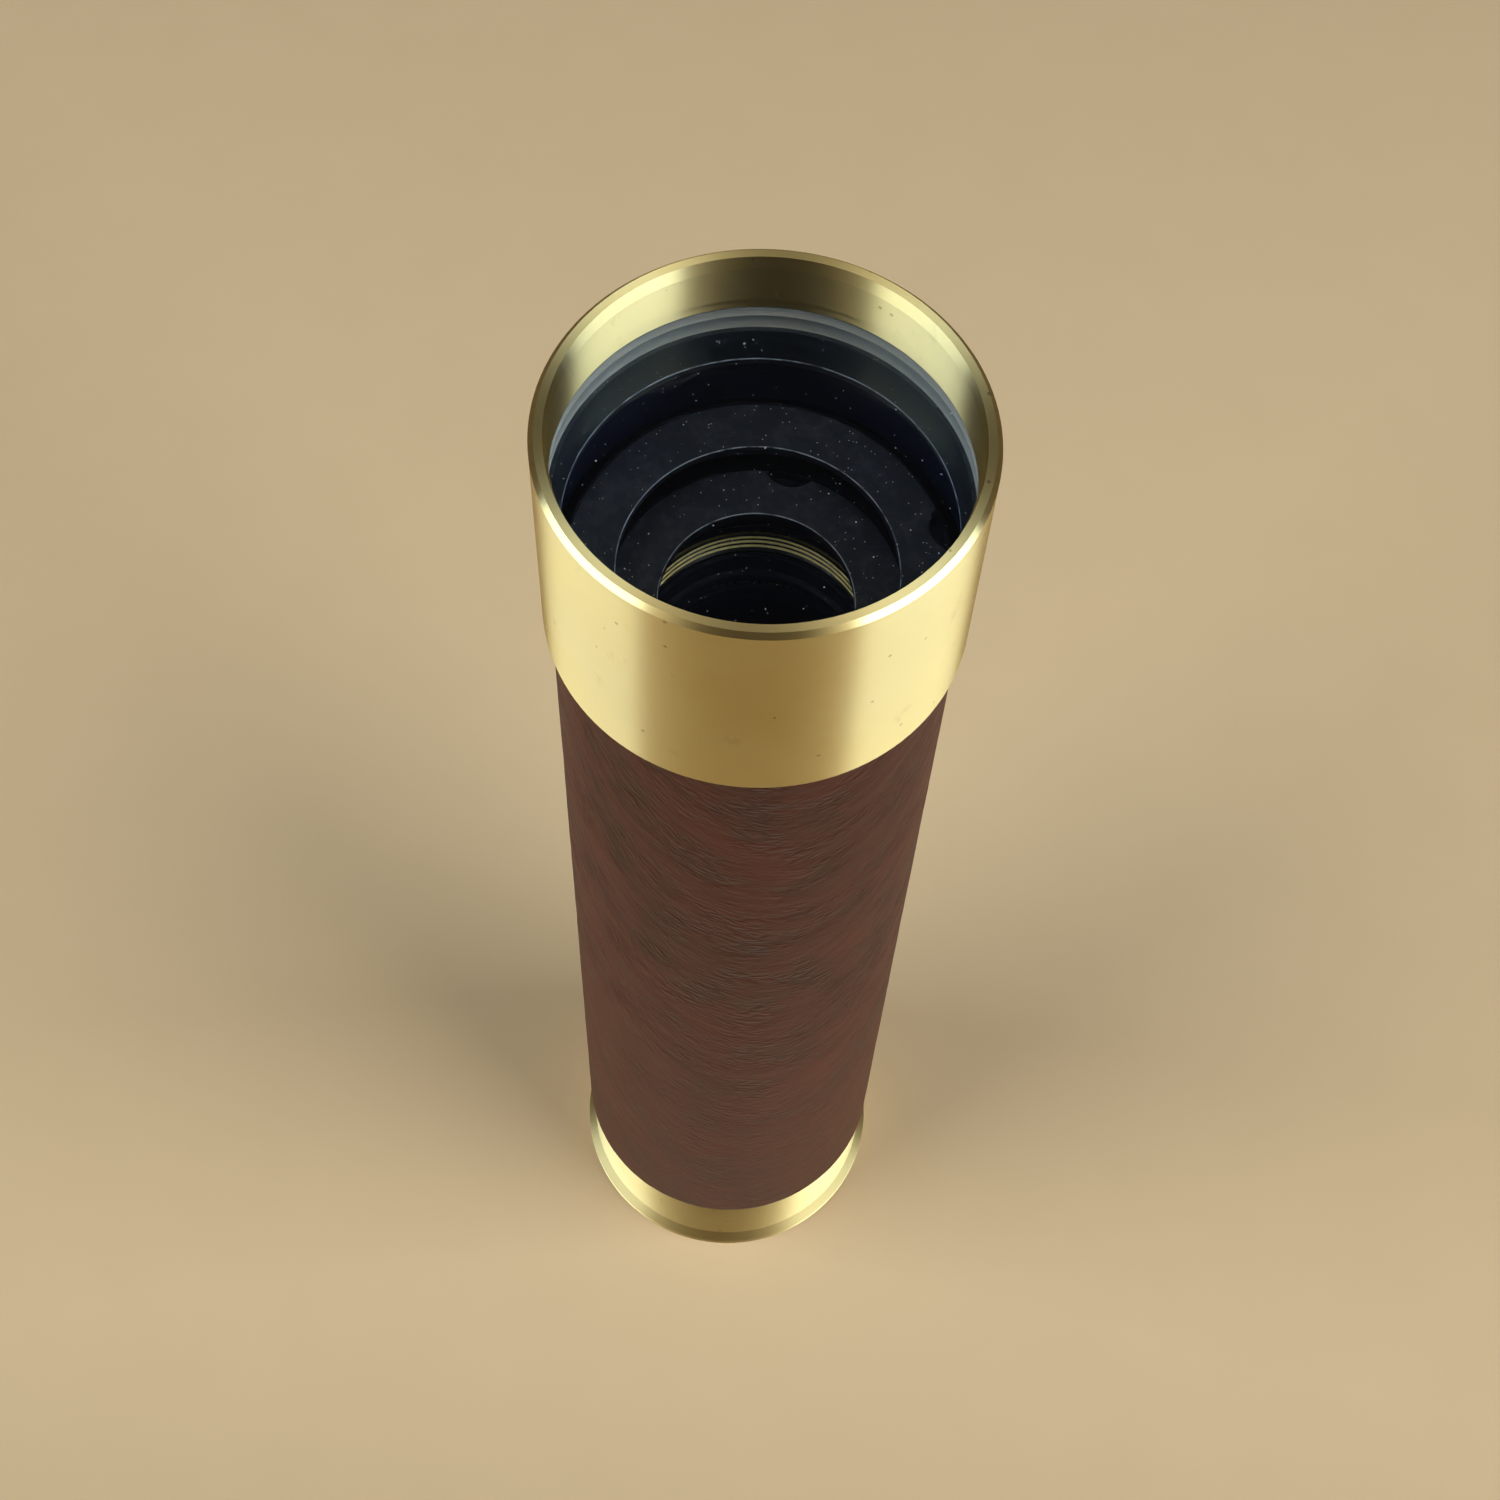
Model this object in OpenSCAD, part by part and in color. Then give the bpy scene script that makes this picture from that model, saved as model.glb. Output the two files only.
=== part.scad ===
// Three-draw hand telescope, closed, standing on its eyepiece flange.
// Origin: centre of the flange's lower face. +Z runs up the tubes to the objective.
// Millimetres. All tubes and rings share the Z axis.

/* [Overall] */
// Length when closed, from the foot to the rim of the objective cap
closed_len = 230; // [226:0.5:240]

/* [Objective cap] */
// Outer radius of the brass cap
cap_r = 27.5; // [27:0.1:29]
// Height of the brass cap
cap_h = 36.5; // [34:0.5:42]
// Radius of the bezel's bore, where a lens cap or filter pushes in
bezel_r = 25.4; // [25:0.05:25.5]
// Depth from the rim to the front edge of the glass
glass_depth = 9.5; // [8.5:0.1:10]
// Chamfer on the rim's outer corner
rim_chamfer = 0.65; // [0.3:0.05:0.9]
// Depth of the flared mouth inside the rim
mouth_h = 1.8; // [1:0.1:2]
// How much wider the mouth is than the bore
mouth_flare = 0.4; // [0.2:0.05:0.6]

/* [Objective lens] */
// Radius of the two glasses
lens_r = 25.9; // [25.7:0.05:26.1]
// Front curve of the crown
crown_front_R = 230; // [200:5:300]
// Cemented curve between crown and flint
cement_R = 170; // [150:5:220]
// Rear curve of the flint
flint_rear_R = 600; // [500:50:1500]
// Thickness of the crown at its edge
crown_edge = 3.4; // [3:0.1:3.8]
// Thickness of the flint at its edge
flint_edge = 4.7; // [4.3:0.1:5]

/* [Barrel] */
// Outer radius of the barrel tube
barrel_r = 25.6; // [25.5:0.05:25.7]
// Wall of the barrel tube
barrel_wall = 0.8; // [0.7:0.05:0.9]
// Thickness of the leather
leather_t = 0.9; // [0.6:0.05:1.2]
// Outer radius of the collar at the barrel's lower end
collar_r = 25.9; // [25.7:0.05:26.3]
// Height of the top of that collar above the foot
collar_top = 18; // [17:0.5:19]

/* [Draw tubes] */
// Outer radius of the widest draw tube
draw1_r = 21.4; // [21.3:0.05:21.5]
// How much each draw is smaller than the one outside it, in radius
draw_step = 3.35; // [3.3:0.05:3.4]
// Wall of a draw tube
draw_wall = 0.7; // [0.65:0.05:0.75]
// Running clearance of a tube in its felt sleeve, in radius
felt_gap = 0.04; // [0.02:0.01:0.08]
// Running clearance of a tube in its guide bush, in radius
bush_gap = 0.08; // [0.05:0.01:0.1]
// Radial room round the head and end rings
ring_gap = 0.3; // [0.25:0.05:0.35]

/* [Baffles] */
// Radius of the hole in the first baffle
baffle1_hole_r = 16.7; // [15:0.1:17.5]
// Radius of the hole in the second baffle
baffle2_hole_r = 11.5; // [10:0.1:13]
// Outer radius of the first baffle
baffle1_r = 22.7; // [22.2:0.1:22.9]
// Outer radius of the second baffle
baffle2_r = 17.3; // [17.1:0.1:17.8]
// Thickness of a baffle
baffle_t = 1.2; // [1:0.1:1.4]
// Radius of the two tool notches in a baffle's edge
notch_r = 3.4; // [2.5:0.1:3.6]
// Direction of the first baffle's notches
baffle1_notch_angle = 18; // [0:1:180]
// Direction of the second baffle's notches
baffle2_notch_angle = 80; // [0:1:180]

/* [Eyepiece] */
// Radius of the flange that the telescope stands on
flange_r = 27.2; // [26.8:0.1:27.4]
// Thickness of that flange
flange_t = 2.6; // [2.4:0.1:2.65]
// Height of the flange's upright rim
flange_edge = 1.2; // [0.8:0.1:1.5]
// Radius of the dish round the eye hole
dish_r = 15.5; // [13:0.5:18]
// Depth of that dish
dish_depth = 4.5; // [4.2:0.1:4.8]
// Radius of the eye hole
eye_hole_r = 5; // [4:0.1:5.5]

/* [Hidden] */
$fn = 96;

brass = [0.86, 0.76, 0.42];
black = [0.09, 0.10, 0.13];
oxblood = [0.33, 0.17, 0.14];
glass = [0.75, 0.83, 0.88, 0.5];
felt_green = [0.16, 0.22, 0.17];

// Barrel
barrel_bore = barrel_r - barrel_wall;
leather_r = barrel_r + leather_t;
leather_foot_gap = 0.4;
cap_bottom = closed_len - cap_h;
cap_edge_break = 0.3;
barrel_in_cap = 12.7;
barrel_top = cap_bottom + barrel_in_cap;
end_gap = 0.1;
collar_bottom = flange_t + end_gap;
spigot_len = 14;
spigot_top = collar_top + spigot_len;

// Objective: heights of the glass edges and of the curves' centres
glass_top = closed_len - glass_depth;
cement_edge = glass_top - crown_edge;
glass_bottom = cement_edge - flint_edge;
function sag(R, r) = R - sqrt(R * R - r * r);
crown_vertex = glass_top + sag(crown_front_R, lens_r);
cement_vertex = cement_edge - sag(cement_R, lens_r);
flint_vertex = glass_bottom - sag(flint_rear_R, lens_r);
lens_relief_r = bezel_r + 0.3;
lens_relief_top = crown_vertex + 0.35;
glass_gap = 0.05;
cap_seat_z = glass_top + glass_gap;
retainer_top = glass_bottom - glass_gap;
retainer_cone_h = 4.75;
retainer_lip_z = retainer_top - retainer_cone_h;
retainer_bottom = barrel_top + 0.2;
retainer_mouth_r = lens_r - 0.8;
retainer_lip_r = 23.7;

// Draw tubes, numbered 1 to 3 from the outside in
function draw_r(n) = draw1_r - (n - 1) * draw_step;
function draw_bore(n) = draw_r(n) - draw_wall;
// Bore in which draw n's head slides
function outer_bore(n) = n == 1 ? barrel_bore : draw_bore(n - 1);
// Top of each draw's head, and of its tube
head_depth = [31.4, 37.2, 45.2];
function head_top(n) = closed_len - head_depth[n - 1];
tube_end_below_head = 3.6;
function tube_top(n) = n == 3 ? head_top(3) : head_top(n) - tube_end_below_head;
head_h = [10.2, 9.8, 11.5];
head3_below_tube = 1.3;
function head_ring_top(n) = n == 3 ? head_top(3) - head3_below_tube : head_top(n);
function head_ring_r(n) = outer_bore(n) - ring_gap;
head_chamfer = 1.4;
head3_chamfer = 0.8;
head_seat_rim = 0.3;
head_throat_lip = 0.7;
baffle_seat_gap = 0.05;

// Guide bushes: one at the lower end of the barrel and of draws 1 and 2
barrel_spigot_wall = 1.6;
bush_outer = [barrel_bore - barrel_spigot_wall, draw_bore(1), draw_bore(2)];
bush_shoulder_gap = 0.2;
bush_bottom = [16.2, 14.2, 12.2];
bush_len = [15.8, 14.8, 13.8];
felt_len = 8;
felt_t = 0.75;
felt_side_gap = 0.05;
felt_top_gap = 0.6;
function bush_top(n) = bush_bottom[n - 1] + bush_len[n - 1];

// End rings of draws 1 and 2, and the flange's hub
tube_bottom = [11, 9.5, 6.5];
end_ring_top = [15.9, 14, 12];
end_ring_r = [barrel_bore - 0.8, draw_r(2) + 1.95, draw_r(3) + 1.7];
function nest_bore(n) = end_ring_r[n - 1] + ring_gap;
eye_land = 1.5;

// Erector, inside draw 3
erector_r = draw_bore(3);
erector_bore = erector_r - 1.4;
erector_top = closed_len - 48;
erector_bottom = 108;
erector_edge_break = 0.15;
erector_lens_r = erector_r - 0.6;
erector_seat = erector_top - 6;
erector_lens_edge = 2;
erector_R = 48;
erector_stop_z = 140;
erector_stop_r = 3.5;
erector_stop_t = 1.5;
erector_rear_z = 115;
erector_ring_h = 1.6;
erector_front_ring_w = 0.7;
erector_rear_ring_w = 0.9;
lens_ring_slope = 0.45;
thread_start = erector_top + 0.4;
thread_turns = 3;
thread_pitch = 0.8;
thread_depth = 0.3;
thread_flank = 0.25;
thread_root = 0.05;

// Eyepiece, inside the lower end of draw 3
sleeve_bore = draw_bore(3) - 1.2;
sleeve_bottom = tube_bottom[2];
sleeve_top = 48;
eye_lens_r = 8.5;
eye_lens_z = 8;
eye_lens_R = 16;
eye_lens_edge = 1.2;
eye_cell_top = 14;
eye_stop_r = 6;
field_lens_z = 40;
field_lens_R = 30;
field_lens_edge = 1.5;
field_ring_h = 2;
field_ring_w = 0.8;
field_stop_z = 27;
field_stop_r = 8;
field_stop_t = 1.2;

// Solid of revolution from a list of [radius, height] points
module turned(points) {
    rotate_extrude() polygon(points);
}

module ring(outer, inner, bottom, top) {
    turned([[inner, bottom], [outer, bottom], [outer, top], [inner, top]]);
}

// A disc of glass between two heights, wide enough to be cut by spheres
module blank(r, bottom, top) {
    translate([0, 0, bottom]) cylinder(r = r, h = top - bottom);
}

// Plano-convex glass: flat face at z, rounded face above it
module dome_lens(r, z, edge, R) {
    vertex = z + edge + sag(R, r);
    intersection() {
        blank(r, z, vertex + 1);
        translate([0, 0, vertex - R]) sphere(r = R, $fn = 180);
    }
}

// Retaining ring above a plano-convex glass: its seat slopes with the dome
module lens_ring(outer, width, z, h) {
    inner = outer - width;
    turned([[inner, z + lens_ring_slope], [outer, z], [outer, z + h], [inner, z + h]]);
}

// Children drawn upside down, from the given level downwards
module hung_from(level) {
    translate([0, 0, level]) mirror([0, 0, 1]) children();
}

module objective_cap() {
    color(brass) turned([
        [barrel_r, cap_bottom], [cap_r - cap_edge_break, cap_bottom],
        [cap_r, cap_bottom + cap_edge_break],
        [cap_r, closed_len - rim_chamfer], [cap_r - rim_chamfer, closed_len],
        [bezel_r + mouth_flare, closed_len], [bezel_r, closed_len - mouth_h],
        [bezel_r, lens_relief_top], [lens_relief_r, lens_relief_top],
        [lens_relief_r, cap_seat_z], [lens_r, cap_seat_z],
        [lens_r, barrel_top], [barrel_r, barrel_top]
    ]);
}

module crown_lens() {
    color(glass) intersection() {
        blank(lens_r, cement_vertex - 1, crown_vertex + 1);
        translate([0, 0, crown_vertex - crown_front_R]) sphere(r = crown_front_R, $fn = 720);
        translate([0, 0, cement_vertex + cement_R]) sphere(r = cement_R, $fn = 720);
    }
}

module flint_lens() {
    color(glass) difference() {
        intersection() {
            blank(lens_r, flint_vertex - 1, cement_edge);
            translate([0, 0, flint_vertex + flint_rear_R]) sphere(r = flint_rear_R, $fn = 720);
        }
        translate([0, 0, cement_vertex + cement_R]) sphere(r = cement_R, $fn = 720);
    }
}

module objective_retaining_ring() {
    color(black) turned([
        [retainer_lip_r, retainer_bottom], [lens_r, retainer_bottom], [lens_r, retainer_top],
        [retainer_mouth_r, retainer_top], [retainer_lip_r, retainer_lip_z]
    ]);
}

module barrel_tube() {
    color(black) ring(barrel_r, barrel_bore, collar_top, barrel_top);
}

module leather_wrap() {
    color(oxblood) ring(leather_r, barrel_r, collar_top + leather_foot_gap, cap_bottom);
}

module barrel_end_ring() {
    shoulder_z = bush_bottom[0] - bush_shoulder_gap;
    color(brass) turned([
        [nest_bore(1), collar_bottom], [collar_r, collar_bottom], [collar_r, collar_top],
        [barrel_bore, collar_top], [barrel_bore, spigot_top], [bush_outer[0], spigot_top],
        [bush_outer[0], shoulder_z], [nest_bore(1), shoulder_z]
    ]);
}

// Sleeve that guides draw n, with a pocket in its upper end for the felt
module guide_bush(n) {
    bore = draw_r(n) + bush_gap;
    pocket = draw_r(n) + felt_t + felt_side_gap;
    pocket_bottom = bush_top(n) - felt_len - felt_top_gap;
    turned([
        [bore, bush_bottom[n - 1]], [bush_outer[n - 1], bush_bottom[n - 1]],
        [bush_outer[n - 1], bush_top(n)], [pocket, bush_top(n)],
        [pocket, pocket_bottom], [bore, pocket_bottom]
    ]);
}

module felt_sleeve(n) {
    top = bush_top(n) - felt_top_gap / 2;
    color(felt_green) ring(draw_r(n) + felt_t, draw_r(n) + felt_gap, top - felt_len, top);
}

module draw_tube(n) {
    ring(draw_r(n), draw_bore(n), tube_bottom[n - 1], tube_top(n));
}

// Black ring that rides in the tube outside, screwed over the draw's upper end.
// Its top has a seat for the baffle, and its outer corner is bevelled.
module seated_head_ring(n, baffle_r) {
    seat_r = baffle_r + baffle_seat_gap;
    throat_r = draw_bore(n) - head_throat_lip;
    top = head_ring_top(n);
    bottom = top - head_h[n - 1];
    seat_z = top - baffle_t;
    color(black) turned([
        [draw_r(n), bottom], [head_ring_r(n), bottom], [head_ring_r(n), top - head_chamfer],
        [seat_r + head_seat_rim, top], [seat_r, top], [seat_r, seat_z], [throat_r, seat_z],
        [throat_r, tube_top(n)], [draw_r(n), tube_top(n)]
    ]);
}

// Flat black ring with two half-round tool notches in its edge
module baffle(n, outer, hole, notch_angle) {
    top = head_top(n);
    color(black) difference() {
        ring(outer, hole, top - baffle_t, top);
        for (turn = [0, 180])
            rotate([0, 0, notch_angle + turn])
                translate([outer + 0.5 * notch_r, 0, top - baffle_t - 1])
                    cylinder(r = notch_r, h = baffle_t + 2);
    }
}

// Ring on a draw's lower end. It nests in the ring outside it, with both faces level.
module end_ring(n) {
    color(brass) turned([
        [nest_bore(n + 1), collar_bottom], [end_ring_r[n - 1], collar_bottom],
        [end_ring_r[n - 1], end_ring_top[n - 1]], [draw_r(n), end_ring_top[n - 1]],
        [draw_r(n), tube_bottom[n - 1]], [nest_bore(n + 1), tube_bottom[n - 1]]
    ]);
}

module barrel_guide_bush() { color(brass) guide_bush(1); }
module felt_sleeve_1() { felt_sleeve(1); }

module draw1_tube() { color(brass) draw_tube(1); }
module draw1_head_ring() { seated_head_ring(1, baffle1_r); }
module draw1_baffle() { baffle(1, baffle1_r, baffle1_hole_r, baffle1_notch_angle); }
module draw1_end_ring() { end_ring(1); }
module draw1_guide_bush() { color(brass) guide_bush(2); }
module felt_sleeve_2() { felt_sleeve(2); }

module draw2_tube() { color(brass) draw_tube(2); }
module draw2_head_ring() { seated_head_ring(2, baffle2_r); }
module draw2_baffle() { baffle(2, baffle2_r, baffle2_hole_r, baffle2_notch_angle); }
module draw2_end_ring() { end_ring(2); }
module draw2_guide_bush() { color(brass) guide_bush(3); }
module felt_sleeve_3() { felt_sleeve(3); }

// The last draw's upper end is open, with a cut thread down to the erector
module draw3_tube() {
    color(brass) difference() {
        draw_tube(3);
        for (turn = [0 : thread_turns - 1])
            translate([0, 0, thread_start + turn * thread_pitch]) thread_groove(draw_bore(3));
    }
}

// One groove of a fine thread, cut outwards from a bore
module thread_groove(bore) {
    inside = bore - 1;
    root = bore + thread_depth;
    width = 2 * thread_flank + thread_root;
    turned([
        [inside, 0], [bore, 0], [root, thread_flank], [root, thread_flank + thread_root],
        [bore, width], [inside, width]
    ]);
}

module draw3_head_ring() {
    top = head_ring_top(3);
    color(black) turned([
        [draw_r(3), top - head_h[2]], [head_ring_r(3), top - head_h[2]],
        [head_ring_r(3), top - head3_chamfer], [head_ring_r(3) - head3_chamfer, top],
        [draw_r(3), top]
    ]);
}

module erector_tube() {
    color(brass) turned([
        [erector_bore, erector_bottom], [erector_r, erector_bottom],
        [erector_r, erector_top - erector_edge_break],
        [erector_r - erector_edge_break, erector_top],
        [erector_lens_r, erector_top], [erector_lens_r, erector_seat],
        [erector_bore, erector_seat]
    ]);
}

module erector_front_lens() {
    color(glass) dome_lens(erector_lens_r, erector_seat, erector_lens_edge, erector_R);
}

module erector_front_ring() {
    z = erector_seat + erector_lens_edge + glass_gap;
    color(black) lens_ring(erector_lens_r, erector_front_ring_w, z, erector_ring_h);
}

module erector_stop() {
    color(black)
        ring(erector_bore, erector_stop_r, erector_stop_z, erector_stop_z + erector_stop_t);
}

module erector_rear_lens() {
    color(glass) hung_from(erector_rear_z)
        dome_lens(erector_bore, 0, erector_lens_edge, erector_R);
}

module erector_rear_ring() {
    z = erector_lens_edge + glass_gap;
    color(black) hung_from(erector_rear_z)
        lens_ring(erector_bore, erector_rear_ring_w, z, erector_ring_h);
}

module eyepiece_sleeve() {
    color(brass) ring(draw_bore(3), sleeve_bore, sleeve_bottom, sleeve_top);
}

module field_lens() {
    color(glass) dome_lens(sleeve_bore, field_lens_z, field_lens_edge, field_lens_R);
}

module field_lens_ring() {
    z = field_lens_z + field_lens_edge + glass_gap;
    color(black) lens_ring(sleeve_bore, field_ring_w, z, field_ring_h);
}

module field_stop() {
    color(black) ring(sleeve_bore, field_stop_r, field_stop_z, field_stop_z + field_stop_t);
}

module eye_lens() {
    color(glass) dome_lens(eye_lens_r, eye_lens_z, eye_lens_edge, eye_lens_R);
}

module eye_lens_cell() {
    color(black) turned([
        [eye_stop_r, sleeve_bottom], [sleeve_bore, sleeve_bottom], [sleeve_bore, eye_cell_top],
        [eye_lens_r, eye_cell_top], [eye_lens_r, eye_lens_z], [eye_stop_r, eye_lens_z]
    ]);
}

// Foot, grip and eye cup in one: a flat flange, a dish round the eye hole, and a hub over draw 3
module eyepiece_flange() {
    color(brass) turned([
        [eye_hole_r, dish_depth], [eye_hole_r + eye_land, dish_depth], [dish_r, 0],
        [flange_r, 0], [flange_r, flange_edge], [collar_r, flange_t],
        [end_ring_r[2], flange_t], [end_ring_r[2], end_ring_top[2]],
        [draw_r(3), end_ring_top[2]], [draw_r(3), tube_bottom[2]], [eye_hole_r, tube_bottom[2]]
    ]);
}

objective_cap();
crown_lens();
flint_lens();
objective_retaining_ring();
barrel_tube();
leather_wrap();
barrel_end_ring();
barrel_guide_bush();
felt_sleeve_1();
draw1_tube();
draw1_head_ring();
draw1_baffle();
draw1_end_ring();
draw1_guide_bush();
felt_sleeve_2();
draw2_tube();
draw2_head_ring();
draw2_baffle();
draw2_end_ring();
draw2_guide_bush();
felt_sleeve_3();
draw3_tube();
draw3_head_ring();
erector_tube();
erector_front_lens();
erector_front_ring();
erector_stop();
erector_rear_lens();
erector_rear_ring();
eyepiece_sleeve();
field_lens();
field_lens_ring();
field_stop();
eye_lens();
eye_lens_cell();
eyepiece_flange();
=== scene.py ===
"""Looks of the three-draw hand telescope: turned brass, creased leather, blackened metal, coated glass.

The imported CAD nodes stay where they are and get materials. The leather and the two objective glasses are
new pieces, because their finish needs shape: a folded hide with a butt seam, and ground glass edges.
Metres throughout, in the CAD frame: the foot is at z = 0 and +Z runs up the tubes to the objective.
"""

import math

import bpy
from mathutils import Matrix, Vector, noise


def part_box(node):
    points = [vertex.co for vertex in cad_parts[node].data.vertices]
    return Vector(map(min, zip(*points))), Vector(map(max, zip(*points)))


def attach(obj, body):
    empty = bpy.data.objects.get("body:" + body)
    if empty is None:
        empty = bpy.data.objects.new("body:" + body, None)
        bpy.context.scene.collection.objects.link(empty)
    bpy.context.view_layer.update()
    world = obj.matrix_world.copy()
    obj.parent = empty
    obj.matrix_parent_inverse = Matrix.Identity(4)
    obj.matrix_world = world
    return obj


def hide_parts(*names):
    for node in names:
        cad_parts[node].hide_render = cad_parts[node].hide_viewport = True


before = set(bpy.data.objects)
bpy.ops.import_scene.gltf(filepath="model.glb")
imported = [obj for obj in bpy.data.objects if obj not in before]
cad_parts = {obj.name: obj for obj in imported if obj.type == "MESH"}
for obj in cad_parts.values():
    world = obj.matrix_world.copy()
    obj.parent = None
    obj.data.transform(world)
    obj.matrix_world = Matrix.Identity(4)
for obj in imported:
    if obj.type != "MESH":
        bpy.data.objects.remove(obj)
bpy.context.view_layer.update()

MM = 0.001


# ---------------------------------------------------------------- sizes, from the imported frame

def top(node):
    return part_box(node)[1].z


def bottom(node):
    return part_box(node)[0].z


def radius(node):
    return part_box(node)[1].x


def lip(node):
    """The upper edge of the narrowest part of a node's hole, as its radius and height."""
    points = [vertex.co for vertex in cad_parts[node].data.vertices]
    narrowest = min(point.xy.length for point in points)
    return narrowest, max(point.z for point in points if point.xy.length < narrowest + 0.01 * MM)


def bore(node):
    """The radius of the narrowest part of a node's hole."""
    return lip(node)[0]


CAP_TOP = top("objective_cap")
MOUTH_RADIUS = bore("objective_cap") + 0.6 * MM
LEATHER_RADIUS = radius("leather_wrap")
BARREL_RADIUS = radius("barrel_tube")
LEATHER_FOOT = bottom("leather_wrap")
LEATHER_HEAD = top("leather_wrap")
GLASS_RADIUS = radius("crown_lens")

# The band of draw 3's bore, above the erector, where the cut thread shows
THREAD = (top("erector_tube") + 0.5 * MM, top("erector_tube") + 3.5 * MM)


# ---------------------------------------------------------------- node trees in short

class Shader:
    """The node tree of a material or world, with a short call for each kind of node used here."""

    def __init__(self, owner, output="OutputMaterial"):
        self.owner = owner
        owner.use_nodes = True
        self.nodes = owner.node_tree.nodes
        self.links = owner.node_tree.links
        self.nodes.clear()
        self.output = self.node(output)
        self.position = self.node("TexCoord").outputs["Object"]

    def set(self, socket, value):
        """Links a socket to another, or writes a number, a vector or a colour of three parts on it."""
        if isinstance(value, bpy.types.NodeSocket):
            self.links.new(value, socket)
        else:
            socket.default_value = (*value, 1.0) if socket.type == "RGBA" else value

    def node(self, kind, inputs=(), **settings):
        made = self.nodes.new("ShaderNode" + kind)
        for name, value in settings.items():
            setattr(made, name, value)
        for name, value in dict(inputs).items():
            self.set(made.inputs[name], value)
        return made

    def calculation(self, kind, values, **settings):
        """A node whose inputs are taken in order, because several of them share a name."""
        made = self.node(kind, **settings)
        for socket, value in zip(made.inputs, values):
            self.set(socket, value)
        return made

    def math(self, operation, *values, clamp=False):
        return self.calculation("Math", values, operation=operation, use_clamp=clamp).outputs[0]

    def plus(self, a, b):
        return self.math("ADD", a, b)

    def minus(self, a, b):
        return self.math("SUBTRACT", a, b)

    def times(self, a, b):
        return self.math("MULTIPLY", a, b)

    def above(self, a, b):
        """1 where a is greater than b, and 0 elsewhere."""
        return self.math("GREATER_THAN", a, b)

    def below(self, a, b):
        return self.math("LESS_THAN", a, b)

    def either(self, a, b):
        """The greater of the two, which joins two masks."""
        return self.math("MAXIMUM", a, b)

    def vector(self, operation, *values, output="Vector"):
        return self.calculation("VectorMath", values, operation=operation).outputs[output]

    def split(self, vector):
        made = self.node("SeparateXYZ", {"Vector": vector})
        return made.outputs["X"], made.outputs["Y"], made.outputs["Z"]

    def join(self, x, y, z):
        return self.node("CombineXYZ", {"X": x, "Y": y, "Z": z}).outputs[0]

    def scaled(self, x, y, z):
        """The position times so many cells of noise a metre, along each axis."""
        return self.vector("MULTIPLY", self.position, (x, y, z))

    def noise(self, vector, detail=2.0, roughness=0.5, distortion=0.0):
        made = self.node("TexNoise", {"Vector": vector, "Scale": 1.0, "Detail": detail,
                                      "Roughness": roughness, "Distortion": distortion})
        return made.outputs["Fac"]

    def net(self, vector):
        """A net of lines: the distance to the nearest line, in cells."""
        made = self.node("TexVoronoi", {"Vector": vector, "Scale": 1.0, "Randomness": 1.0},
                         feature="DISTANCE_TO_EDGE")
        return made.outputs["Distance"]

    def map(self, value, low, high, to_low=0.0, to_high=1.0):
        """The value's way from low to high, eased at both ends and held beyond them."""
        made = self.node("MapRange", {"Value": value, "From Min": low, "From Max": high,
                                      "To Min": to_low, "To Max": to_high},
                         interpolation_type="SMOOTHSTEP")
        return made.outputs["Result"]

    def mix(self, factor, a, b):
        made = self.node("Mix", data_type="RGBA")
        self.set(made.inputs["Factor"], factor)
        colour_inputs = [socket for socket in made.inputs if socket.type == "RGBA"]
        for socket, value in zip(colour_inputs, (a, b)):
            self.set(socket, value)
        return next(socket for socket in made.outputs if socket.type == "RGBA")

    def blend(self, factor, a, b):
        """The Mix Shader of two shaders."""
        return self.calculation("MixShader", (factor, a, b)).outputs[0]

    def bump(self, height, strength, distance):
        return self.node("Bump", {"Height": height, "Strength": strength, "Distance": distance}).outputs[0]

    def facing(self):
        """The upward part of the surface's direction: 1 where it faces straight up."""
        return self.split(self.node("NewGeometry").outputs["Normal"])[2]

    def round_tangent(self):
        return self.node("Tangent", direction_type="RADIAL", axis="Z").outputs[0]

    def around(self):
        """Distance from the tubes' axis, and height."""
        x, y, z = self.split(self.position)
        return self.vector("LENGTH", self.join(x, y, 0.0), output="Value"), z

    def near(self, value, centre, width):
        """1 where the value is at the centre, falling to 0 at that width away from it."""
        away = self.math("ABSOLUTE", self.minus(value, centre))
        return self.map(away, width, 0.25 * width)

    def specks(self, scale, share, size, seed=0.0):
        """1 inside scattered round specks. That share of the cells holds one, of that size in cells."""
        where = self.vector("ADD", self.position, (seed, seed, seed))
        made = self.node("TexVoronoi", {"Vector": where, "Scale": scale})
        picked = self.below(self.split(made.outputs["Color"])[0], share)
        inside = self.map(made.outputs["Distance"], size, 0.6 * size)
        return self.times(inside, picked)

    def principled(self, **sockets):
        """The Principled BSDF. A socket's name has _ where Blender has a space."""
        inputs = {name.replace("_", " "): value for name, value in sockets.items()}
        return self.node("BsdfPrincipled", inputs).outputs[0]

    def finish(self, surface):
        self.links.new(surface, self.output.inputs["Surface"])
        return self.owner


def new_shader(name):
    return Shader(bpy.data.materials.new(name))


# ---------------------------------------------------------------- materials

BRASS = (0.91, 0.73, 0.34)
BRASS_DEEP = (0.89, 0.69, 0.30)
BRASS_BARE = (1.0, 0.90, 0.50)
TARNISH = (0.42, 0.30, 0.12)
BORE_BLACK = (0.004, 0.005, 0.007)

BLUE_BLACK = (0.0022, 0.0028, 0.0078)
BAFFLE_BLACK = (0.0022, 0.0029, 0.0060)
HEAD_RING_BLACK = (0.0008, 0.0010, 0.0020)
RETAINER_BLACK = (0.0034, 0.0045, 0.0060)
EDGE_WEAR_AND_GLINT = (0.26, 0.28, 0.32)
DUST_FILM = (0.30, 0.33, 0.38)
DUST_GRAIN = (0.55, 0.57, 0.58)


def shaded(colour, share):
    return tuple(share * part for part in colour)


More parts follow.
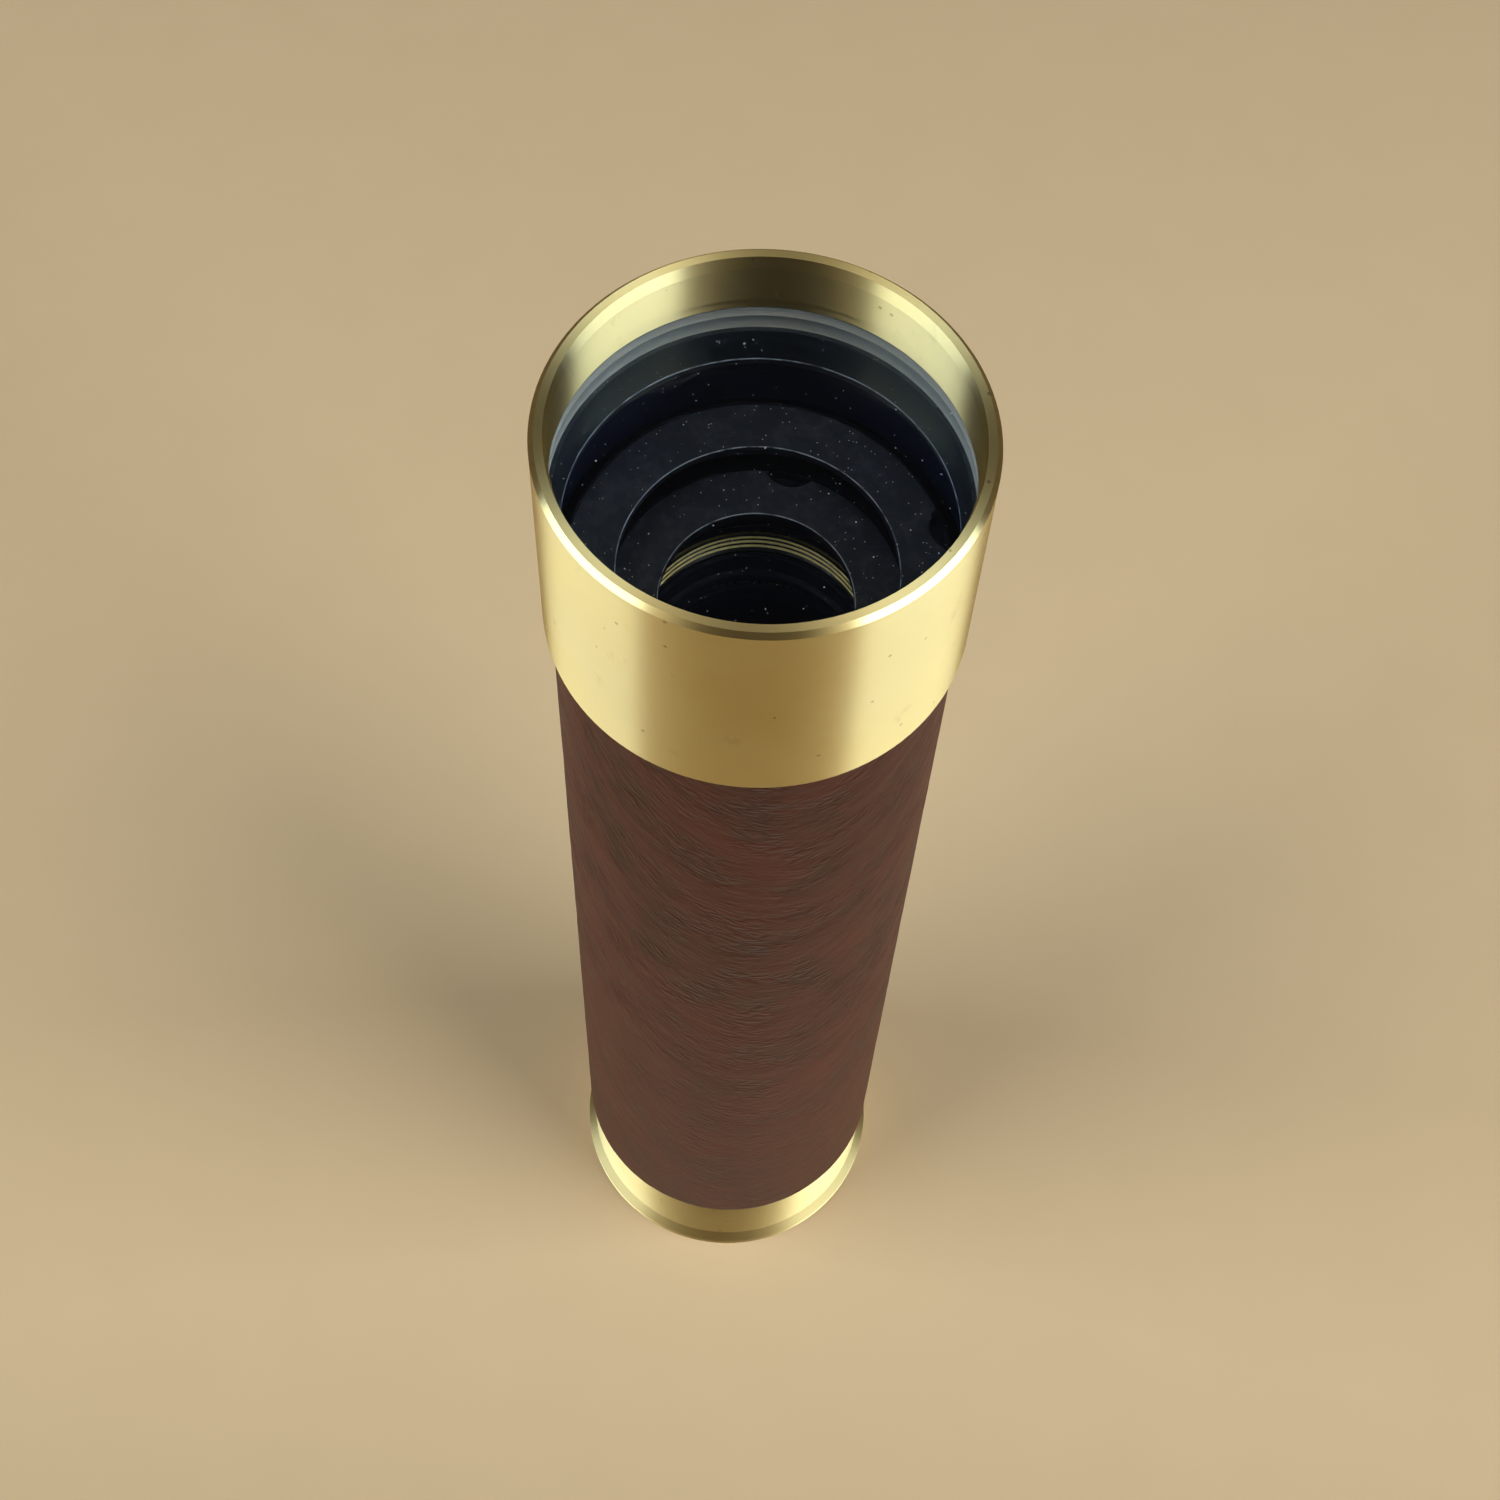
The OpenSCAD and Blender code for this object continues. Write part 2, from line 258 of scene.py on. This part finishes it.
def turned_brass(name, roughness=0.35, tint=1.0):
    """Lathe-turned, lacquered brass. Its grooves run round the axis, so reflections smear along it."""
    s = new_shader(name)
    distance, height = s.around()
    cloud = s.noise(s.scaled(60, 60, 60), detail=3)
    # A tint below 1 darkens the brass's colour; the foot's rings use it as painted shade.
    colour = s.mix(s.map(cloud, 0.35, 0.7), shaded(BRASS, tint), shaded(BRASS_DEEP, tint))
    stain = s.map(s.noise(s.scaled(190, 190, 120), detail=4, roughness=0.65), 0.62, 0.8)
    colour = s.mix(s.times(stain, 0.25), colour, TARNISH)
    pits = s.specks(700, 0.05, 0.22)
    colour = s.mix(s.times(pits, 0.7), colour, TARNISH)
    across_grooves = s.join(s.times(distance, 2600), 0.0, s.times(height, 2600))
    grooves = s.noise(across_grooves, detail=3, roughness=0.7)

    # All that lies within the bezel's mouth is a little duller than the cap's outside, and the flat of
    # the cap's rim is the dullest.
    within = s.below(distance, MOUTH_RADIUS)
    on_rim = s.times(s.map(s.facing(), 0.93, 0.98), s.above(height, CAP_TOP - 0.1 * MM))
    rough = s.plus(roughness - 0.06, s.times(grooves, 0.08))
    rough = s.plus(rough, s.times(cloud, 0.05))
    rough = s.plus(rough, s.times(within, 0.03))
    rough = s.plus(rough, s.times(on_rim, 0.40))
    shade = s.principled(Base_Color=colour, Metallic=1.0, Roughness=rough, Anisotropic=1.0,
                         Anisotropic_Rotation=0.25, Tangent=s.round_tangent(),
                         Normal=s.bump(grooves, 0.12, 0.02 * MM))
    return s.finish(shade)


def blackened(name, tint=BLUE_BLACK, roughness=0.36, wear_and_glint_edge=None, dust=0.5, grain=0.15, shine=0.28):
    """Blackened metal, with dust on what faces up. The edge given as (radius, height) gets a painted
    highlight, broken into chips like rubbed paint.
    """
    s = new_shader(name)
    distance, height = s.around()
    cloud = s.noise(s.scaled(140, 140, 140), detail=4, roughness=0.6)
    colour = s.mix(cloud, tint, shaded(tint, 1.9))
    facing_up = s.map(s.facing(), 0.6, 0.95)
    film = s.map(s.noise(s.scaled(420, 420, 420), detail=5, roughness=0.7), 0.4, 0.75)
    film = s.times(s.times(film, facing_up), 0.05 * dust)
    colour = s.mix(film, colour, DUST_FILM)
    grains = s.either(s.specks(1300, 0.02, 0.16), s.specks(2600, 0.08, 0.20, seed=0.3))
    grains = s.times(grains, s.plus(s.times(facing_up, 0.8), 0.08))
    colour = s.mix(s.times(grains, dust), colour, DUST_GRAIN)
    if wear_and_glint_edge is not None:
        # A pale, chipped line along the edge: a painted highlight where the edge catches light, and rubbed
        # paint.
        edge = s.times(s.near(distance, wear_and_glint_edge[0], 0.13 * MM), s.near(height, wear_and_glint_edge[1], 0.20 * MM))
        chips = s.map(s.noise(s.scaled(800, 800, 800), detail=3), 0.25, 0.6)
        colour = s.mix(s.times(edge, chips), colour, EDGE_WEAR_AND_GLINT)
    rough = s.plus(roughness, s.times(cloud, 0.14))
    fine = s.noise(s.scaled(2500, 2500, 2500), detail=2)
    shade = s.principled(Base_Color=colour, Metallic=0.0, Roughness=rough, Specular_IOR_Level=shine,
                         Normal=s.bump(fine, grain, 0.02 * MM))
    return s.finish(shade)


def drawn_brass(name, bore_radius, thread=None):
    """A drawn brass tube, black in the bore. Between a thread's (low, high), the bore's crests are bare."""
    s = new_shader(name)
    distance, height = s.around()
    cloud = s.noise(s.scaled(70, 70, 25), detail=3)
    colour = s.mix(s.map(cloud, 0.35, 0.7), BRASS, BRASS_DEEP)
    streaks = s.noise(s.scaled(60, 60, 1800), detail=4, roughness=0.6)
    stain = s.map(s.noise(s.scaled(150, 150, 60), detail=4, roughness=0.65), 0.60, 0.8)
    colour = s.mix(s.times(stain, 0.25), colour, TARNISH)
    # The black reaches the thread's roots, and the bare brass only the tips of its crests.
    inside = s.below(distance, bore_radius + 0.35 * MM)
    rough = s.plus(0.27, s.times(streaks, 0.05))
    if thread is not None:
        low, high = thread
        ragged = s.times(s.noise(s.scaled(900, 900, 0), detail=4, roughness=0.7), 0.6 * MM)
        crest = s.below(distance, bore_radius + 0.06 * MM)
        crest = s.times(crest, s.above(height, low))
        crest = s.times(crest, s.below(s.plus(height, ragged), high))
        inside = s.math("SUBTRACT", inside, crest, clamp=True)
        colour = s.mix(crest, colour, BRASS_BARE)
        rough = s.plus(rough, s.times(crest, 0.66))
    colour = s.mix(inside, colour, BORE_BLACK)
    shade = s.principled(Base_Color=colour, Metallic=s.minus(1.0, inside), Roughness=rough,
                         Anisotropic=0.6, Anisotropic_Rotation=0.25, Tangent=s.round_tangent(),
                         Normal=s.bump(streaks, 0.03, 0.02 * MM))
    return s.finish(shade)


OXBLOOD = (0.062, 0.0150, 0.0085)
OXBLOOD_REDDER = (0.086, 0.0165, 0.0090)
OXBLOOD_RUBBED = (0.15, 0.033, 0.019)
CREASE_PAINTED_SHADE = (0.018, 0.008, 0.005)
HIDE_END_PAINTED_SHADE = (0.012, 0.008, 0.007)

# The hide's growth lines hang in an arc across the front: how deep, and where the lowest point is.
HIDE_SAG = 40 * MM
HIDE_TURN = math.radians(15)

# Hands have rubbed the creases to this share of their depth at the foot. Going up from there, they are
# rubbed less and less between the two heights.
RUBBED_SHARE = 0.3
RUBBED_LOW = LEATHER_FOOT + 25 * MM
RUBBED_HIGH = LEATHER_FOOT + 110 * MM


def leather():
    """Thin oxblood hide: mottled dye, wrinkles, and two nets of creases that follow the growth lines."""
    s = new_shader("leather")
    x, y, z = s.split(s.position)
    front = s.math("ARCTAN2", x, s.times(y, -1.0))
    drop = s.minus(1.0, s.math("COSINE", s.minus(front, HIDE_TURN)))
    level = s.minus(z, s.times(drop, HIDE_SAG))
    level = s.plus(level, s.times(s.noise(s.scaled(45, 45, 45), detail=4), 8 * MM))

    def along(across_scale, level_scale):
        return s.join(s.times(x, across_scale), s.times(y, across_scale), s.times(level, level_scale))

    depth = s.map(s.noise(s.scaled(120, 120, 120), detail=3), 0.38, 0.66, 0.15, 1.0)
    depth = s.times(depth, s.map(z, RUBBED_LOW, RUBBED_HIGH, RUBBED_SHARE, 1.0))
    fine_flats = s.map(s.net(along(290, 800)), 0.0, 0.26)
    long_flats = s.map(s.net(along(85, 330)), 0.0, 0.10)
    valley = s.times(s.minus(1.0, s.times(fine_flats, long_flats)), depth)
    wrinkle = s.noise(along(480, 1300), detail=4, roughness=0.6)

    broad = s.noise(along(34, 60), detail=5, roughness=0.6, distortion=0.3)
    colour = s.mix(s.map(broad, 0.38, 0.60), OXBLOOD, OXBLOOD_REDDER)
    mottle = s.noise(s.scaled(420, 420, 420), detail=4, roughness=0.65)
    colour = s.mix(s.map(mottle, 0.45, 0.75, 0.0, 0.35), colour, OXBLOOD_RUBBED)
    # Darker in the creases' valleys: painted shade.
    colour = s.mix(s.times(valley, 0.42), colour, CREASE_PAINTED_SHADE)
    # Darker over the rounded ends, where the hide meets the cap and the collar: painted shade.
    end_shade = s.either(s.map(z, LEATHER_FOOT + 0.9 * MM, LEATHER_FOOT + 0.3 * MM),
                        s.map(z, LEATHER_HEAD - 0.8 * MM, LEATHER_HEAD - 0.2 * MM))
    colour = s.mix(s.times(end_shade, 0.85), colour, HIDE_END_PAINTED_SHADE)

    height = s.minus(s.times(wrinkle, 0.7), valley)
    rough = s.plus(0.40, s.times(mottle, 0.16))
    shade = s.principled(Base_Color=colour, Roughness=rough, Specular_IOR_Level=0.19,
                         Sheen_Weight=0.05, Sheen_Roughness=0.30, Sheen_Tint=(1.0, 0.80, 0.66),
                         Normal=s.bump(height, 1.0, 0.15 * MM))
    return s.finish(shade)


GLASS_IOR = 1.52
GLASS_TINT = (0.97, 0.985, 1.0)
# The anti-reflection coating leaves this share of bare glass's mirror, and leaves it blue.
COATED_SHARE = 0.22
COATED_MIRROR = (0.62, 0.72, 1.0)
GLASS_DUST = (0.62, 0.64, 0.66)
GLASS_SHADOW = (0.93, 0.95, 0.97)


def glass(name, dust=0.0):
    """Coated optical glass. Lamps light what lies behind it, and dust settles where it faces up."""
    s = new_shader(name)
    bent = s.node("BsdfRefraction", {"Color": GLASS_TINT, "Roughness": 0.0, "IOR": GLASS_IOR})
    mirror = s.node("BsdfGlossy", {"Color": COATED_MIRROR, "Roughness": 0.0})
    share = s.times(s.node("Fresnel", {"IOR": GLASS_IOR}).outputs[0], COATED_SHARE)
    solid = s.blend(share, bent.outputs[0], mirror.outputs[0])
    if dust:
        grains = s.either(s.specks(900, 0.03, 0.11, seed=0.7), s.specks(2200, 0.03, 0.15, seed=0.2))
        grains = s.times(grains, s.map(s.facing(), 0.7, 0.95))
        speck = s.node("BsdfDiffuse", {"Color": GLASS_DUST})
        solid = s.blend(s.times(grains, dust), solid, speck.outputs[0])
    for_lamps = s.node("BsdfTransparent", {"Color": GLASS_SHADOW})
    shadow_ray = s.node("LightPath").outputs["Is Shadow Ray"]
    return s.finish(s.blend(shadow_ray, solid, for_lamps.outputs[0]))


GROUND_GREY = (0.22, 0.20, 0.155)
GROUND_PALE = (0.31, 0.28, 0.22)


def ground_edge():
    """The lenses' fine-ground cylindrical edge: grey and matt, with faint grinding marks round it."""
    s = new_shader("ground_edge")
    distance, height = s.around()
    marks = s.noise(s.join(0.0, s.times(distance, 900), s.times(height, 2400)), detail=3)
    colour = s.mix(marks, GROUND_GREY, GROUND_PALE)
    return s.finish(s.principled(Base_Color=colour, Roughness=0.62, Specular_IOR_Level=0.3))


FELT_GREEN = (0.016, 0.040, 0.024)
FELT_PALE = (0.045, 0.085, 0.055)


def felt():
    """Green felt with a short nap."""
    s = new_shader("felt_nap")
    nap = s.noise(s.scaled(1500, 1500, 900), detail=5, roughness=0.7)
    colour = s.mix(nap, FELT_GREEN, FELT_PALE)
    shade = s.principled(Base_Color=colour, Roughness=0.95, Sheen_Weight=0.5, Sheen_Roughness=0.4,
                         Normal=s.bump(nap, 0.6, 0.1 * MM))
    return s.finish(shade)


# ---------------------------------------------------------------- new pieces

def new_piece(name, verts, faces):
    mesh = bpy.data.meshes.new(name)
    mesh.from_pydata(verts, [], faces)
    mesh.validate()
    mesh.shade_smooth()
    made = bpy.data.objects.new(name, mesh)
    bpy.context.scene.collection.objects.link(made)
    return made


def turned(profile, turns, closed):
    """Vertices and faces of a profile of (radius, height) points that is carried once round the axis."""
    verts, faces = [], []
    count = len(profile)
    for i in range(turns):
        angle = 2 * math.pi * i / turns
        verts += [(r * math.cos(angle), r * math.sin(angle), z) for r, z in profile]
        here, there = i * count, (i + 1) % turns * count
        for k in range(count if closed else count - 1):
            n = (k + 1) % count
            faces.append((here + k, there + k, there + n, here + n))
    return verts, faces


# The hide's even radius is this much less than the CAD wrap's, which leaves room for what stands out.
HIDE_INSET = 0.08 * MM
# How far the hide's inside stands off the barrel
HIDE_GAP = 0.02 * MM
SEAM_ANGLE = math.pi / 2
SEAM_WIDTH = 0.6 * MM
SEAM_DEPTH = 0.32 * MM
SWELL_HEIGHT = 0.035 * MM
CREASE_HEIGHT = 0.025 * MM
FOLD_DEPTH = 0.08 * MM
# How far from 0 the folds' noise still counts as a fold
FOLD_SHARE = 0.3
# Where the folds' noise is read, away from its even values at whole numbers
FOLD_START = Vector((7.3, 2.9, 4.1))


def leather_profile(outer, inner):
    """The cover's outline: a straight outside with a round corner at each end, and a straight inside."""
    corner, chamfer, corner_steps, rows = 0.45 * MM, 0.1 * MM, 4, 256
    low, high, centre = LEATHER_FOOT + corner, LEATHER_HEAD - corner, outer - corner
    angles = [math.pi / 2 * k / corner_steps for k in range(corner_steps + 1)]
    profile = [(inner, LEATHER_FOOT + chamfer)]
    profile += [(centre + corner * math.sin(a), low - corner * math.cos(a)) for a in angles]
    profile += [(outer, low + (high - low) * k / rows) for k in range(1, rows)]
    profile += [(centre + corner * math.cos(a), high + corner * math.sin(a)) for a in angles]
    profile.append((inner, LEATHER_HEAD - chamfer))
    return profile


def unrubbed(height):
    """The share of their depth that hands have left the folds at a height."""
    share = (height - RUBBED_LOW) / (RUBBED_HIGH - RUBBED_LOW)
    return RUBBED_SHARE + (1 - RUBBED_SHARE) * min(1.0, max(0.0, share))


def hide_lift(point):
    """How far the hide stands out from its even radius at a point: swells and creases, less the folds."""
    front = math.atan2(point.x, -point.y)
    level = point.z - HIDE_SAG * (1 - math.cos(front - HIDE_TURN))
    swell = noise.noise(point * 90)
    crease = noise.noise(Vector((point.x * 90, point.y * 90, level * 420)))
    fold = noise.noise(Vector((point.x * 60, point.y * 60, level * 250)) + FOLD_START)
    valley = max(0.0, 1 - abs(fold) / FOLD_SHARE) * unrubbed(point.z)
    return min(SWELL_HEIGHT * swell + CREASE_HEIGHT * crease - FOLD_DEPTH * valley, HIDE_INSET)


def seam_groove(point):
    """How far the butt seam at the back sinks in at a point."""
    angle = math.atan2(point.y, point.x)
    away = abs(math.remainder(angle - SEAM_ANGLE, 2 * math.pi)) * point.xy.length
    return SEAM_DEPTH * math.exp(-(away / SEAM_WIDTH) ** 2)


def leather_cover():
    """The hide as a folded, slightly uneven sleeve with rounded ends and a butt seam at the back."""
    outer, inner = LEATHER_RADIUS - HIDE_INSET, BARREL_RADIUS + HIDE_GAP
    made = new_piece("leather_cover", *turned(leather_profile(outer, inner), turns=360, closed=True))
    for vertex in made.data.vertices:
        r = vertex.co.xy.length
        # The inside stays round.
        if r > inner + 0.2 * MM:
            share = (r + hide_lift(vertex.co) - seam_groove(vertex.co)) / r
            vertex.co = (vertex.co.x * share, vertex.co.y * share, vertex.co.z)
    return made


# Radii of the glasses' curves
CROWN_FRONT = 230 * MM
CEMENT = 170 * MM
FLINT_REAR = 600 * MM


def sag(curve, r):
    """The height of a sphere at radius r over its pole. A minus curve has its centre below."""
    size = abs(curve)
    return math.copysign(size - math.sqrt(size * size - r * r), curve)


def lens(name, low_edge, high_edge, low_curve, high_curve):
    """A glass of revolution between two spheres. low_edge and high_edge are where they reach the rim."""
    rings, turns, bevel, play = 40, 180, 0.18 * MM, 0.04 * MM
    rim = GLASS_RADIUS - play

    def low_face(r):
        return r, low_edge + sag(low_curve, r) - sag(low_curve, rim)

    def high_face(r):
        return r, high_edge + sag(high_curve, r) - sag(high_curve, rim)

    profile = [low_face(rim * k / rings) for k in range(1, rings)] + [low_face(rim - bevel)]
    profile += [(rim, low_edge + bevel), (rim, high_edge - bevel)]
    profile += [high_face(rim - bevel)] + [high_face(rim * k / rings) for k in range(rings - 1, 0, -1)]
    verts, faces = turned(profile, turns, closed=False)
    count, low_pole, high_pole = len(profile), len(verts), len(verts) + 1
    verts += [(0, 0, low_face(0)[1]), (0, 0, high_face(0)[1])]
    for i in range(turns):
        j = (i + 1) % turns
        faces.append((low_pole, j * count, i * count))
        faces.append((high_pole, i * count + count - 1, j * count + count - 1))
    made = new_piece(name, verts, faces)
    for polygon in made.data.polygons:
        polygon.material_index = 1 if polygon.center.xy.length > rim - bevel else 0
    sharpen_between_materials(made.data)
    return made


def sharpen_between_materials(mesh):
    """Marks an edge sharp where a face of one material meets a face of another."""
    sharp = mesh.attributes.new("sharp_edge", "BOOLEAN", "EDGE")
    materials_at = {}
    for polygon in mesh.polygons:
        for key in polygon.edge_keys:
            materials_at.setdefault(key, set()).add(polygon.material_index)
    for edge in mesh.edges:
        sharp.data[edge.index].value = len(materials_at[tuple(sorted(edge.vertices))]) > 1


# ---------------------------------------------------------------- build

def give(names, material):
    for name in names:
        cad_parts[name].material_slots[0].material = material


def brass_parts():
    give(["objective_cap", "barrel_guide_bush", "draw1_end_ring", "draw2_end_ring", "draw1_guide_bush",
          "draw2_guide_bush"], turned_brass("turned_brass"))
    # The foot's rings: rougher brass, with its colour darkened by the tint as painted shade.
    give(["barrel_end_ring", "eyepiece_flange"], turned_brass("rough_brass_painted_shade", roughness=0.56, tint=0.86))
    for tube, thread in (("draw1_tube", None), ("draw2_tube", None), ("draw3_tube", THREAD)):
        give([tube], drawn_brass(f"{tube}_brass", bore(tube), thread))
    give(["eyepiece_sleeve"], drawn_brass("sleeve_brass", bore("eyepiece_sleeve")))


def black_parts():
    give(["erector_tube"], blackened("erector_black"))
    give(["barrel_tube"], blackened("barrel_black"))
    give(["draw3_head_ring", "erector_front_ring", "erector_stop", "erector_rear_ring", "field_lens_ring",
          "field_stop", "eye_lens_cell"], blackened("fittings_black"))
    retainer = "objective_retaining_ring"
    give([retainer], blackened("retaining_ring_black", RETAINER_BLACK, roughness=0.25, wear_and_glint_edge=lip(retainer),
                               dust=0.6, grain=0.0, shine=0.7))
    for n in (1, 2):
        baffle = f"draw{n}_baffle"
        give([baffle], blackened(f"{baffle}_black", BAFFLE_BLACK, roughness=0.45, wear_and_glint_edge=lip(baffle),
                                 dust=0.9))
        give([f"draw{n}_head_ring"], blackened(f"draw{n}_head_black", HEAD_RING_BLACK, roughness=0.45,
                                               dust=0.2, shine=0.10))


def objective_glasses():
    """Crown and flint. Each edge stops short of its CAD height, which leaves a hairline at the joint."""
    hairline = 0.02 * MM
    crown_edge_top = top("crown_lens") - sag(CROWN_FRONT, GLASS_RADIUS)
    joint = top("flint_lens")
    flint_edge_low = bottom("flint_lens") + sag(FLINT_REAR, GLASS_RADIUS)
    crown = lens("crown_glass", joint + hairline, crown_edge_top - hairline, CEMENT, -CROWN_FRONT)
    flint = lens("flint_glass", flint_edge_low + hairline, joint - hairline, FLINT_REAR, CEMENT)
    polished, ground = glass("coated_glass", dust=0.85), ground_edge()
    for piece in (crown, flint):
        piece.data.materials.append(polished)
        piece.data.materials.append(ground)
    return crown, flint


brass_parts()
black_parts()
give(["erector_front_lens", "erector_rear_lens", "field_lens", "eye_lens"], glass("inner_glass"))
give(["felt_sleeve_1", "felt_sleeve_2", "felt_sleeve_3"], felt())

cover = leather_cover()
cover.data.materials.append(leather())
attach(cover, "barrel")
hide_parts("leather_wrap")

crown, flint = objective_glasses()
for piece, node in ((crown, "crown_lens"), (flint, "flint_lens")):
    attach(piece, "barrel")
    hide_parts(node)


# ---------------------------------------------------------------- studio

# What the camera sees where the lit paper ends. It lights nothing and shows in no reflection.
BACKDROP = (0.50, 0.40, 0.25)
PAPER = (0.63, 0.42, 0.22)
PAPER_PALE = (0.66, 0.44, 0.235)
PAPER_PAINTED_SHADOW = (0.38, 0.25, 0.127)
# The distances from the tubes' axis between which the paper fades into the backdrop
FADE_START, FADE_END = 0.45, 1.0

DAYLIGHT = (0.84, 1.06, 1.28)
LAMPLIGHT = (1.0, 0.96, 0.84)
ROOM_LIGHT = (1.0, 0.86, 0.66)
# From the objective, the way to whoever looks into it
ONLOOKER = (0.0, -0.88, 0.47)


def floor():
    """Pale paper, darkened in front by a painted shadow. Far out it fades into the backdrop."""
    half = 12.0
    corners = [(-half, -half, 0), (half, -half, 0), (half, half, 0), (-half, half, 0)]
    made = new_piece("floor", corners, [(0, 1, 2, 3)])
    s = new_shader("floor_paper")
    colour = s.mix(s.noise(s.scaled(60, 60, 60), detail=4), PAPER, PAPER_PALE)
    depth = s.split(s.position)[1]
    # A painted shadow: the paper darkens towards the front.
    colour = s.mix(s.map(depth, -0.22, 0.0), PAPER_PAINTED_SHADOW, colour)
    paper = s.principled(Base_Color=colour, Roughness=0.9, Specular_IOR_Level=0.2)
    distance = s.around()[0]
    camera_ray = s.node("LightPath").outputs["Is Camera Ray"]
    faded = s.times(s.map(distance, FADE_START, FADE_END), camera_ray)
    backdrop = s.node("Emission", {"Color": BACKDROP})
    made.data.materials.append(s.finish(s.blend(faded, paper, backdrop.outputs[0])))


def room():
    """Dim, warm light all round, dimmer still behind the onlooker. The camera sees the backdrop instead."""
    s = Shader(bpy.data.worlds.new("room"), "OutputWorld")
    direction = s.node("TexCoord").outputs["Generated"]
    towards = s.vector("DOT_PRODUCT", direction, ONLOOKER, output="Value")
    lit = s.node("Background", {"Color": ROOM_LIGHT, "Strength": s.map(towards, 0.42, 0.60, 0.07, 0.05)})
    seen = s.node("Background", {"Color": BACKDROP})
    camera_ray = s.node("LightPath").outputs["Is Camera Ray"]
    bpy.context.scene.world = s.finish(s.blend(camera_ray, lit.outputs[0], seen.outputs[0]))


def softbox(name, place, aim, width, height, power, colour):
    data = bpy.data.lights.new(name, "AREA")
    data.shape, data.size, data.size_y = "RECTANGLE", width, height
    data.energy, data.color = power, colour
    made = bpy.data.objects.new(name, data)
    bpy.context.scene.collection.objects.link(made)
    made.location = place
    made.rotation_mode = "QUATERNION"
    made.rotation_quaternion = (Vector(aim) - Vector(place)).to_track_quat("-Z", "Y")
    made.visible_camera = False


def studio():
    floor()
    softbox("left_window", (-1.0, -0.42, 0.80), (0, -0.42, 0.80), 1.14, 0.9, 16.5, DAYLIGHT)
    softbox("right_window", (1.0, -0.50, 0.80), (0, -0.50, 0.80), 1.28, 0.9, 21.8, DAYLIGHT)
    softbox("left_lamp", (-0.57, -0.33, 1.5), (0, 0, 0.2), 0.4, 0.4, 2.5, LAMPLIGHT)
    softbox("right_lamp", (0.57, -0.33, 1.5), (0, 0, 0.2), 0.4, 0.4, 3.5, LAMPLIGHT)
    room()
    bpy.context.scene.view_settings.view_transform = "Standard"


def camera():
    """A phone held above and in front, looking down on the objective and turned a little."""
    place = Vector((0.0, -0.1641, 0.4595))
    yaw, pitch, roll = 0.0021, 1.0804, 0.0597
    data = bpy.data.cameras.new("camera")
    data.lens, data.sensor_width = 58.21, 36.0
    made = bpy.data.objects.new("camera", data)
    bpy.context.scene.collection.objects.link(made)
    forward = Vector((math.sin(yaw) * math.cos(pitch), math.cos(yaw) * math.cos(pitch), -math.sin(pitch)))
    level_right = Vector((math.cos(yaw), -math.sin(yaw), 0.0))
    level_up = level_right.cross(forward)
    right = math.cos(roll) * level_right + math.sin(roll) * level_up
    up = math.cos(roll) * level_up - math.sin(roll) * level_right
    turn = Matrix((right, up, -forward)).transposed()
    made.matrix_world = Matrix.LocRotScale(place, turn.to_quaternion(), None)
    bpy.context.scene.camera = made


studio()
camera()
